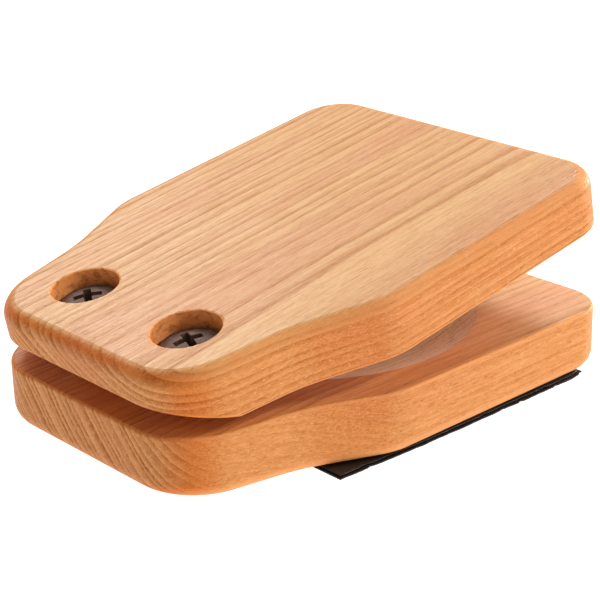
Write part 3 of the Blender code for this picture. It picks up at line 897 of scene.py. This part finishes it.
def ring_pocket_mesh(name, screws, rings):
    """Pocket for a rubber ring with the screw's pilot hole below it."""
    floor = -SEAT_THICKNESS - rings.seat_gap - rings.height - CLEARANCE
    pocket = rings.outer / 2 + CLEARANCE
    pilot = screws.shank / 2 + CLEARANCE
    end = screw_tip(screws) - CLEARANCE
    profile = [(0, 0), (pocket, 0), (pocket, floor), (pilot, floor), (pilot, end), (0, end)]
    return turned_mesh(name, profile, BORE_STEPS)


def screw_place(screws, side):
    """Frame on a screw's axis, level with the seat and leaning with the open plate."""
    offset = Vector((screws.place_x - RIDGE_X, SIDES[side] * screws.spacing / 2, 0))
    return OPEN_FRAME @ Matrix.Translation(offset)


def screw_tip(screws):
    """Depth of the screw's point below the seat, along the screw."""
    axis_z = PIVOT.z + (screws.place_x - RIDGE_X) * math.sin(OPEN_ANGLE)
    return -(axis_z - TIP_Z) / math.cos(OPEN_ANGLE)


def outer_roundover(obj, outer_z, radius):
    """Rounds the edges of the slab's face at a height."""
    mesh = obj.data
    weights = mesh.attributes.new("bevel_weight_edge", "FLOAT", "EDGE")
    for edge in mesh.edges:
        heights = [mesh.vertices[index].co.z for index in edge.vertices]
        weights.data[edge.index].value = max(abs(z - outer_z) for z in heights) < WELD
    bevel = obj.modifiers.new("outer_roundover", "BEVEL")
    bevel.width = radius
    bevel.segments = EDGE_STEPS
    bevel.limit_method = "WEIGHT"
    bevel.use_clamp_overlap = False


def mating_edges(obj, radius):
    """Eases the edges that are still sharp."""
    bevel = obj.modifiers.new("mating_edges", "BEVEL")
    bevel.width = radius
    bevel.segments = MATING_STEPS
    bevel.limit_method = "ANGLE"
    bevel.angle_limit = EDGE_ANGLE
    bevel.use_clamp_overlap = False


def make_plate(name, plates, thickness, outer_z, radius, place, wedge, dish_place, bores, material):
    """Slab with its neck relieved, its edges rounded, and its dish and bores cut."""
    obj = link_object(name, slab_mesh(name, plate_outline(plates), 0, thickness))
    obj.matrix_world = place
    outer_roundover(obj, outer_z, radius)
    tools = [carve(obj, name + "_relief", wedge, place)]
    mating_edges(obj, plates.mating_edge)
    dish = turned_mesh(name + "_dish", dish_profile(plates), DISH_STEPS)
    tools.append(carve(obj, name + "_dish", dish, dish_place))
    tools += [carve(obj, bore.name, bore, bore_place) for bore, bore_place in bores]
    mesh = clean_mesh(evaluated_mesh(obj, name), outward=False)
    for tool in tools:
        bpy.data.objects.remove(tool)
    mesh.materials.clear()
    mesh.materials.append(material)
    return shaded(mesh, name, RIM_ANGLE)


class CASTANET_OT_plates(bpy.types.Operator):
    """Make both wooden plates"""

    bl_idname = "castanet.plates"
    bl_label = "Make plates"

    def execute(self, context):
        plates = context.scene.castanet_plates
        screws = context.scene.castanet_screws
        rings = context.scene.castanet_rings
        upper = oiled_wood("upper_plate_wood", plates, screws, *UPPER_CUT)
        lower = oiled_wood("lower_plate_wood", plates, screws, *LOWER_CUT)
        wedge = neck_wedge("upper_relief", plates, RIDGE_X, plates.neck_bevel, 0, -1)
        dish_place = UPPER_FRAME @ Matrix.Translation((plates.dish_x, 0, 0))
        dish_place = dish_place @ Matrix.Rotation(math.pi, 4, "X")
        bores = [
            (counterbore_mesh(side + "_counterbore", plates, screws, seed), screw_place(screws, side))
            for seed, side in enumerate(SIDES)
        ]
        mesh = make_plate(
            "upper_plate_wood",
            plates,
            plates.upper_thickness,
            plates.upper_thickness,
            plates.upper_edge,
            UPPER_FRAME,
            wedge,
            dish_place,
            bores,
            upper,
        )
        add_piece("upper_plate_wood", mesh, upper, "clapper", "upper_plate")
        wedge = neck_wedge("lower_relief", plates, plates.relief_x, plates.relief_slope, LOWER_THICKNESS, 1)
        dish_place = LOWER_FRAME @ Matrix.Translation((plates.dish_x, 0, LOWER_THICKNESS))
        bores = [
            (ring_pocket_mesh(side + "_pocket", screws, rings), screw_place(screws, side)) for side in SIDES
        ]
        mesh = make_plate(
            "lower_plate_wood",
            plates,
            LOWER_THICKNESS,
            0,
            plates.lower_edge,
            LOWER_FRAME,
            wedge,
            dish_place,
            bores,
            lower,
        )
        add_piece("lower_plate_wood", mesh, lower, "base", "lower_plate")
        return {"FINISHED"}


# Screws


def blackened_steel(screws):
    """Blackened steel, mottled and rubbed lighter in places."""
    material, tree, shader = new_finish("blackened_steel")
    place = object_mm(tree)
    mottle = pattern(tree, place, *STEEL_MOTTLE)
    colour = mix(tree, "MIX", ramp(tree, mottle, *STEEL_WEAR), screws.steel, screws.worn_steel)
    tree.links.new(colour, shader.inputs["Base Color"])
    tree.links.new(ramp(tree, mottle, *STEEL_ROUGHNESS), shader.inputs["Roughness"])
    shader.inputs["Metallic"].default_value = STEEL_METAL
    shader.inputs["Specular IOR Level"].default_value = STEEL_GLOSS
    bump(tree, shader, pattern(tree, place, *STEEL_GRAIN), FINE_RELIEF)
    return material


def screw_profile(screws):
    """Crowned head with a rounded edge, the shank and its point."""
    lift = head_lift(screws)
    head = screws.head / 2
    edge_top = lift + screws.head_edge
    crown = (head ** 2 + screws.crown ** 2) / (2 * screws.crown)
    flat = head - screws.edge_round
    half_angle = math.asin(flat / crown)
    points = []
    for i in range(CROWN_STEPS + 1):
        angle = half_angle * i / CROWN_STEPS
        height = edge_top + screws.crown - crown * (1 - math.cos(angle))
        points.append((crown * math.sin(angle), height))
    corner_z = points[-1][1] - screws.edge_round
    points += arc((flat, corner_z), screws.edge_round, HEAD_EDGE_START, 0, HEAD_EDGE_STEPS)
    core = screws.shank / 2 - screws.thread_depth
    tip = screw_tip(screws)
    points += [
        (head, lift),
        (screws.shank / 2, lift),
        (screws.shank / 2, -SEAT_THICKNESS),
        (core, -SEAT_THICKNESS - screws.thread_depth),
        (core, tip + screws.tip_length),
        (0, tip),
    ]
    return points


def recess_mesh(name, screws, turn):
    """Cross-shaped plug that narrows to its floor and cuts the recess into a screw head."""
    arm = screws.recess_span / 2
    slot = screws.recess_slot / 2
    corner = [Vector((arm, -slot)), Vector((arm, slot)), Vector((slot, slot))]
    quarters = [Matrix.Rotation(math.pi / 2 * i, 2) for i in range(4)]
    outline = [quarter @ point for quarter in quarters for point in corner]
    crown_top = head_lift(screws) + screws.head_edge + screws.crown
    floor = crown_top - screws.recess_depth
    mesh = slab_mesh(name, outline, floor, crown_top + CLEARANCE)
    for vert in mesh.vertices:
        if vert.co.z < floor + CLEARANCE:
            for axis in range(2):
                on_arm = abs(vert.co[axis]) > screws.recess_slot
                vert.co[axis] *= ARM_TAPER if on_arm else SLOT_TAPER
    mesh.transform(Matrix.Rotation(turn, 4, "Z"))
    return mesh


def thread_tree():
    """Node tree that winds a wood thread round a shank."""
    sockets = (
        ("Turns", "Float"),
        ("Radius", "Float"),
        ("Length", "Float"),
        ("Ridge", "Float"),
        ("Material", "Material"),
    )
    tree, inputs, given = new_generator("screw_thread", sockets)
    path = put(
        tree,
        "GeometryNodeCurveSpiral",
        {
            "Resolution": THREAD_STEPS,
            "Rotations": given["Turns"],
            "Start Radius": given["Radius"],
            "End Radius": given["Radius"],
            "Height": given["Length"],
        },
    )
    upright = put(tree, "GeometryNodeSetCurveNormal", {"Curve": path.outputs[0]}, mode="Z_UP")
    sockets = {"Resolution": THREAD_SIDES, "Radius": given["Ridge"]}
    ridge = put(tree, "GeometryNodeCurvePrimitiveCircle", sockets)
    thread = put(
        tree,
        "GeometryNodeCurveToMesh",
        {"Curve": upright.outputs[0], "Profile Curve": ridge.outputs[0], "Fill Caps": True},
    )
    close_generator(tree, thread.outputs[0], given["Material"])
    return tree, inputs


def thread_mesh(name, generator, screws, place, steel):
    """Thread from the screw's point up to the face of the lower plate."""
    tree, inputs = generator
    start = screw_tip(screws) + screws.tip_length
    length = -SEAT_THICKNESS - screws.thread_pitch - start
    values = {
        "Turns": length / screws.thread_pitch,
        "Radius": screws.shank / 2 - screws.thread_depth,
        "Length": length,
        "Ridge": screws.thread_depth,
        "Material": steel,
    }
    return generated_mesh(name, tree, inputs, values, place @ Matrix.Translation((0, 0, start)))


def joined_mesh(first, second):
    """Both meshes in the first one. The second is removed."""
    shape = bmesh.new()
    shape.from_mesh(first)
    shape.from_mesh(second)
    shape.to_mesh(first)
    shape.free()
    bpy.data.meshes.remove(second)
    return first


class CASTANET_OT_screws(bpy.types.Operator):
    """Make the screws with their cross recesses and threads"""

    bl_idname = "castanet.screws"
    bl_label = "Make screws"

    def execute(self, context):
        screws = context.scene.castanet_screws
        steel = blackened_steel(screws)
        generator = thread_tree()
        for side in SIDES:
            name = side + "_screw_steel"
            place = screw_place(screws, side)
            obj = link_object(name, turned_mesh(name, screw_profile(screws), SCREW_STEPS))
            obj.matrix_world = place
            recess = recess_mesh(side + "_recess", screws, math.radians(RECESS_TURNS[side]))
            tool = carve(obj, side + "_recess", recess, place)
            mesh = clean_mesh(evaluated_mesh(obj, name), outward=False)
            bpy.data.objects.remove(tool)
            mesh = joined_mesh(mesh, thread_mesh(side + "_thread", generator, screws, place, steel))
            mesh.materials.clear()
            mesh.materials.append(steel)
            add_piece(name, shaded(mesh, name, SHARP_ANGLE), steel, "base", side + "_screw")
        return {"FINISHED"}


# Rubber rings


def spring_rubber(rings):
    """Black rubber with a dusty bloom."""
    material, tree, shader = new_finish("spring_rubber")
    place = object_mm(tree)
    bloom = pattern(tree, place, *RUBBER_BLOOM)
    dusty = scaled(rings.rubber, DUSTY)
    colour = mix(tree, "MIX", ramp(tree, bloom, *RUBBER_DUST), rings.rubber, dusty)
    tree.links.new(colour, shader.inputs["Base Color"])
    tree.links.new(ramp(tree, bloom, *RUBBER_ROUGHNESS), shader.inputs["Roughness"])
    bump(tree, shader, pattern(tree, place, *RUBBER_GRAIN), FINE_RELIEF)
    return material


def ring_profile(rings):
    """Section of a rubber ring with rounded corners, outer side first."""
    top = -SEAT_THICKNESS - rings.seat_gap
    bottom = top - rings.height
    outer = rings.outer / 2 - rings.corner
    inner = rings.inner / 2 + rings.corner
    high = top - rings.corner
    low = bottom + rings.corner
    points = arc((outer, high), rings.corner, 90, 0, RING_CORNER_STEPS)
    points += arc((outer, low), rings.corner, 0, -90, RING_CORNER_STEPS)
    points += arc((inner, low), rings.corner, 270, 180, RING_CORNER_STEPS)
    points += arc((inner, high), rings.corner, 180, 90, RING_CORNER_STEPS)
    return points


class CASTANET_OT_rings(bpy.types.Operator):
    """Make the rubber rings that push the plates apart"""

    bl_idname = "castanet.rings"
    bl_label = "Make rubber rings"

    def execute(self, context):
        rings = context.scene.castanet_rings
        screws = context.scene.castanet_screws
        rubber = spring_rubber(rings)
        for side in SIDES:
            name = side + "_ring_rubber"
            mesh = turned_mesh(name, ring_profile(rings), SCREW_STEPS, closed=True)
            mesh.transform(screw_place(screws, side))
            mesh.shade_smooth()
            mesh.set_sharp_from_angle(angle=SHARP_ANGLE)
            piece = add_piece(name, mesh, rubber, "base", side + "_ring")
            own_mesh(piece)
        return {"FINISHED"}


# Hook tape


def hook_nylon(tape):
    """Black nylon with a fine weave and brownish cut edges."""
    material, tree, shader = new_finish("hook_nylon")
    place = object_mm(tree)
    axes = split(tree, place)
    warp = calc(tree, "SINE", calc(tree, "MULTIPLY", axes["X"], WARP_RATE))
    weft = calc(tree, "SINE", calc(tree, "MULTIPLY", axes["Y"], WEFT_RATE))
    weave = calc(tree, "MULTIPLY", warp, weft)
    lint = ramp(tree, pattern(tree, place, *NYLON_LINT), *NYLON_LINTY)
    facing = put(tree, "ShaderNodeNewGeometry").outputs["Normal"]
    upright = split(tree, vector(tree, "ABSOLUTE", facing))["Z"]
    share = calc(tree, "MAXIMUM", ramp(tree, upright, *NYLON_CUTS), lint)
    colour = mix(tree, "MIX", share, tape.nylon, tape.cut_nylon)
    tree.links.new(colour, shader.inputs["Base Color"])
    tree.links.new(ramp(tree, weave, *NYLON_ROUGHNESS), shader.inputs["Roughness"])
    shader.inputs["Specular IOR Level"].default_value = NYLON_GLOSS
    bump(tree, shader, weave, NYLON_RELIEF)
    return material


def tape_glue(tape):
    """Cloudy adhesive film."""
    material, tree, shader = new_finish("tape_glue")
    cloud = pattern(tree, object_mm(tree), *GLUE_CLOUD)
    colour = mix(tree, "MIX", ramp(tree, cloud, *GLUE_CLOUDY), tape.glue, scaled(tape.glue, CLOUDY))
    tree.links.new(colour, shader.inputs["Base Color"])
    tree.links.new(ramp(tree, cloud, *GLUE_ROUGHNESS), shader.inputs["Roughness"])
    return material


def cut_outline(low, high, wave, slant, steps, draw):
    """Rectangle whose two ends across Y were cut by hand, slightly askew, with small steps and nicks."""
    points = []
    for sign in (-1, 1):
        y = low.y if sign < 0 else high.y
        drift = 0.0
        edge = []
        for i in range(steps + 1):
            drift = DRIFT_KEPT * drift + draw.uniform(0, DRIFT_STEP)
            nick = NICK_DEPTH if draw.random() < NICK_CHANCE else 0.0
            share = i / steps
            askew = NEAR_SKEW * max(0.0, 1 - share / NEAR_SKEW_END) if sign < 0 else share
            clipped = max(0.0, (share - CLIP_START) / (1 - CLIP_START)) ** 2
            inset = min(1.0, drift * DRIFT_SHARE + nick) * wave + (askew + CLIP_DEPTH * clipped) * slant
            edge.append(Vector((low.x + (high.x - low.x) * share, y - sign * inset)))
        points += edge if sign < 0 else edge[::-1]
    return points


def hook_tree():
    """Node tree that sets rows of nylon hooks below a grid, each turned a little at random."""
    sockets = (
        ("Length", "Float"),
        ("Width", "Float"),
        ("Columns", "Int"),
        ("Rows", "Int"),
        ("Height", "Float"),
        ("Wire", "Float"),
        ("Seed", "Int"),
        ("Material", "Material"),
    )
    tree, inputs, given = new_generator("tape_hooks", sockets)
    grid = put(
        tree,
        "GeometryNodeMeshGrid",
        {
            "Size X": given["Length"],
            "Size Y": given["Width"],
            "Vertices X": given["Columns"],
            "Vertices Y": given["Rows"],
        },
    )
    height = given["Height"]
    bend_z = calc(tree, "MULTIPLY", height, -HOOK_BEND)
    lean = calc(tree, "MULTIPLY", height, HOOK_LEAN)
    point_z = calc(tree, "MULTIPLY", height, -HOOK_POINT)
    hook = put(
        tree,
        "GeometryNodeCurvePrimitiveBezierSegment",
        {
            "Resolution": HOOK_STEPS,
            "Start": (0, 0, 0),
            "Start Handle": put(tree, "ShaderNodeCombineXYZ", {"Z": bend_z}).outputs[0],
            "End Handle": put(tree, "ShaderNodeCombineXYZ", {"X": lean, "Z": bend_z}).outputs[0],
            "End": put(tree, "ShaderNodeCombineXYZ", {"X": lean, "Z": point_z}).outputs[0],
        },
    )
    sockets = {"Resolution": HOOK_SIDES, "Radius": given["Wire"]}
    wire = put(tree, "GeometryNodeCurvePrimitiveCircle", sockets)
    mesh = put(
        tree,
        "GeometryNodeCurveToMesh",
        {"Curve": hook.outputs[0], "Profile Curve": wire.outputs[0], "Fill Caps": True},
    )
    turn = put(
        tree,
        "FunctionNodeRandomValue",
        {"Min": (0, 0, -HOOK_TURN), "Max": (0, 0, HOOK_TURN), "Seed": given["Seed"]},
        data_type="FLOAT_VECTOR",
    )
    index = put(tree, "GeometryNodeInputIndex").outputs[0]
    every_other = calc(tree, "MULTIPLY", calc(tree, "MODULO", index, 2.0), math.pi)
    flip = put(tree, "ShaderNodeCombineXYZ", {"Z": every_other})
    rotation = vector(tree, "ADD", turn.outputs[0], flip.outputs[0])
    hooks = put(
        tree,
        "GeometryNodeInstanceOnPoints",
        {"Points": grid.outputs["Mesh"], "Instance": mesh.outputs[0], "Rotation": rotation},
    )
    close_generator(tree, hooks.outputs[0], given["Material"])
    return tree, inputs


def hooks_mesh(tape, material):
    """Rows of hooks below the tape's backing, as a plain mesh."""
    tree, inputs = hook_tree()
    length = TAPE_HIGH.x - TAPE_LOW.x - 2 * tape.hook_margin
    width = TAPE_HIGH.y - TAPE_LOW.y - 2 * tape.hook_margin
    values = {
        "Length": length,
        "Width": width,
        "Columns": round(length / tape.hook_pitch),
        "Rows": round(width / tape.hook_pitch),
        "Height": TAPE_HIGH.z - TAPE_LOW.z - tape.backing - tape.hook_wire,
        "Wire": tape.hook_wire,
        "Seed": tape.seed,
        "Material": material,
    }
    middle = (TAPE_LOW + TAPE_HIGH) / 2
    middle.z = TAPE_HIGH.z - tape.backing
    return generated_mesh("tape_hooks", tree, inputs, values, Matrix.Translation(middle))


class CASTANET_OT_tape(bpy.types.Operator):
    """Make the hook tape, its hooks and its adhesive film"""

    bl_idname = "castanet.tape"
    bl_label = "Make hook tape"

    def execute(self, context):
        tape = context.scene.castanet_tape
        draw = random.Random(tape.seed)
        nylon = hook_nylon(tape)
        outline = cut_outline(TAPE_LOW, TAPE_HIGH, tape.cut_wave, tape.cut_slant, TAPE_CUT_STEPS, draw)
        mesh = slab_mesh("hook_tape_backing", outline, TAPE_HIGH.z - tape.backing, TAPE_HIGH.z)
        add_piece("hook_tape_backing", mesh, nylon, "base", "hook_tape")
        hooks = hooks_mesh(tape, nylon)
        hooks.shade_smooth()
        add_piece("hook_tape_hooks", hooks, nylon, "base", "hook_tape")
        outline = cut_outline(FILM_LOW, FILM_HIGH, tape.cut_wave, tape.cut_slant, FILM_CUT_STEPS, draw)
        film = slab_mesh("tape_glue_film", outline, FILM_LOW.z, FILM_HIGH.z)
        add_piece("tape_glue_film", film, tape_glue(tape), "base", "tape_adhesive")
        return {"FINISHED"}


# Studio


def studio_paper(studio):
    """White paper of the floor."""
    material, tree, shader = new_finish("studio_paper")
    fleck = pattern(tree, object_mm(tree), *PAPER_FLECK)
    shade = scaled(studio.paper, FLECKED)
    colour = mix(tree, "MIX", ramp(tree, fleck, *PAPER_FLECKED), studio.paper, shade)
    tree.links.new(colour, shader.inputs["Base Color"])
    shader.inputs["Roughness"].default_value = PAPER_ROUGHNESS
    shader.inputs["Emission Color"].default_value = (1, 1, 1, 1)
    shader.inputs["Emission Strength"].default_value = studio.glow
    return material


def softbox(name, target, turn, rise, width, level):
    """Square area light that faces a point. Its level is what it adds to the brightness of white."""
    toward = Vector((math.cos(turn) * math.cos(rise), math.sin(turn) * math.cos(rise), math.sin(rise)))
    data = bpy.data.lights.new(name, "AREA")
    data.shape = "SQUARE"
    data.size = width
    data.energy = level * (math.pi * SOFTBOX_DISTANCE) ** 2
    light = link_object(name, data)
    light.location = target + toward * SOFTBOX_DISTANCE
    light.rotation_euler = (-toward).to_track_quat("-Z", "Y").to_euler()
    return light


def make_camera(studio, target):
    turn = studio.azimuth
    rise = studio.elevation
    back = Vector(
        (math.sin(turn) * math.cos(rise), -math.cos(turn) * math.cos(rise), math.sin(rise))
    )
    right = Vector((0, 0, 1)).cross(back).normalized()
    facing = Matrix((right, back.cross(right), back)).transposed().to_4x4()
    data = bpy.data.cameras.new("photo_camera")
    data.lens = studio.lens
    data.sensor_width = SENSOR_WIDTH
    data.clip_start = NEAR_CLIP
    camera = link_object("photo_camera", data)
    place = Matrix.Translation(target + back * studio.distance)
    camera.matrix_world = place @ facing @ Matrix.Rotation(studio.roll, 4, "Z")
    bpy.context.scene.camera = camera


class CASTANET_OT_studio(bpy.types.Operator):
    """Make the floor, the lights and the camera"""

    bl_idname = "castanet.studio"
    bl_label = "Make studio"

    def execute(self, context):
        studio = context.scene.castanet_studio
        profile = [(0, 0), *arc((FLOOR_RADIUS, FLOOR_RIM), FLOOR_RIM, 270, 360, FLOOR_STEPS)]
        mesh = turned_mesh("floor", profile, SCREW_STEPS)
        mesh.shade_smooth()
        mesh.materials.append(studio_paper(studio))
        floor = link_object("floor", mesh)
        floor.location.z = CAD_BOX[0].z - FLOOR_GAP
        target = LOWER_FRAME @ Vector(studio.target)
        for name, turn, rise, width, level in SOFTBOXES:
            softbox(name, target, math.radians(turn), math.radians(rise), width, level)
        world = bpy.data.worlds.new("white_room")
        world.use_nodes = True
        sky = world.node_tree.nodes["Background"]
        sky.inputs["Color"].default_value = (1, 1, 1, 1)
        sky.inputs["Strength"].default_value = studio.sky
        context.scene.world = world
        context.scene.view_settings.view_transform = "Standard"
        make_camera(studio, target)
        return {"FINISHED"}


class CASTANET_PT_sidebar(bpy.types.Panel):
    """Steps that build the castanet"""

    bl_label = "Castanet"
    bl_idname = "CASTANET_PT_sidebar"
    bl_space_type = "VIEW_3D"
    bl_region_type = "UI"
    bl_category = "Castanet"

    def draw(self, context):
        for operator in OPERATORS:
            self.layout.operator(operator.bl_idname)


SETTINGS = {
    "castanet_plates": PlateSettings,
    "castanet_screws": ScrewSettings,
    "castanet_rings": RingSettings,
    "castanet_tape": TapeSettings,
    "castanet_studio": StudioSettings,
}
OPERATORS = (
    CASTANET_OT_plates,
    CASTANET_OT_screws,
    CASTANET_OT_rings,
    CASTANET_OT_tape,
    CASTANET_OT_studio,
)
CLASSES = (*SETTINGS.values(), *OPERATORS, CASTANET_PT_sidebar)


def register():
    for item in CLASSES:
        bpy.utils.register_class(item)
    for name, group in SETTINGS.items():
        setattr(bpy.types.Scene, name, PointerProperty(type=group))


def unregister():
    for name in SETTINGS:
        delattr(bpy.types.Scene, name)
    for item in reversed(CLASSES):
        bpy.utils.unregister_class(item)


def main():
    register()
    bpy.ops.castanet.plates()
    bpy.ops.castanet.screws()
    bpy.ops.castanet.rings()
    bpy.ops.castanet.tape()
    bpy.ops.castanet.studio()


if __name__ == "__main__":
    main()
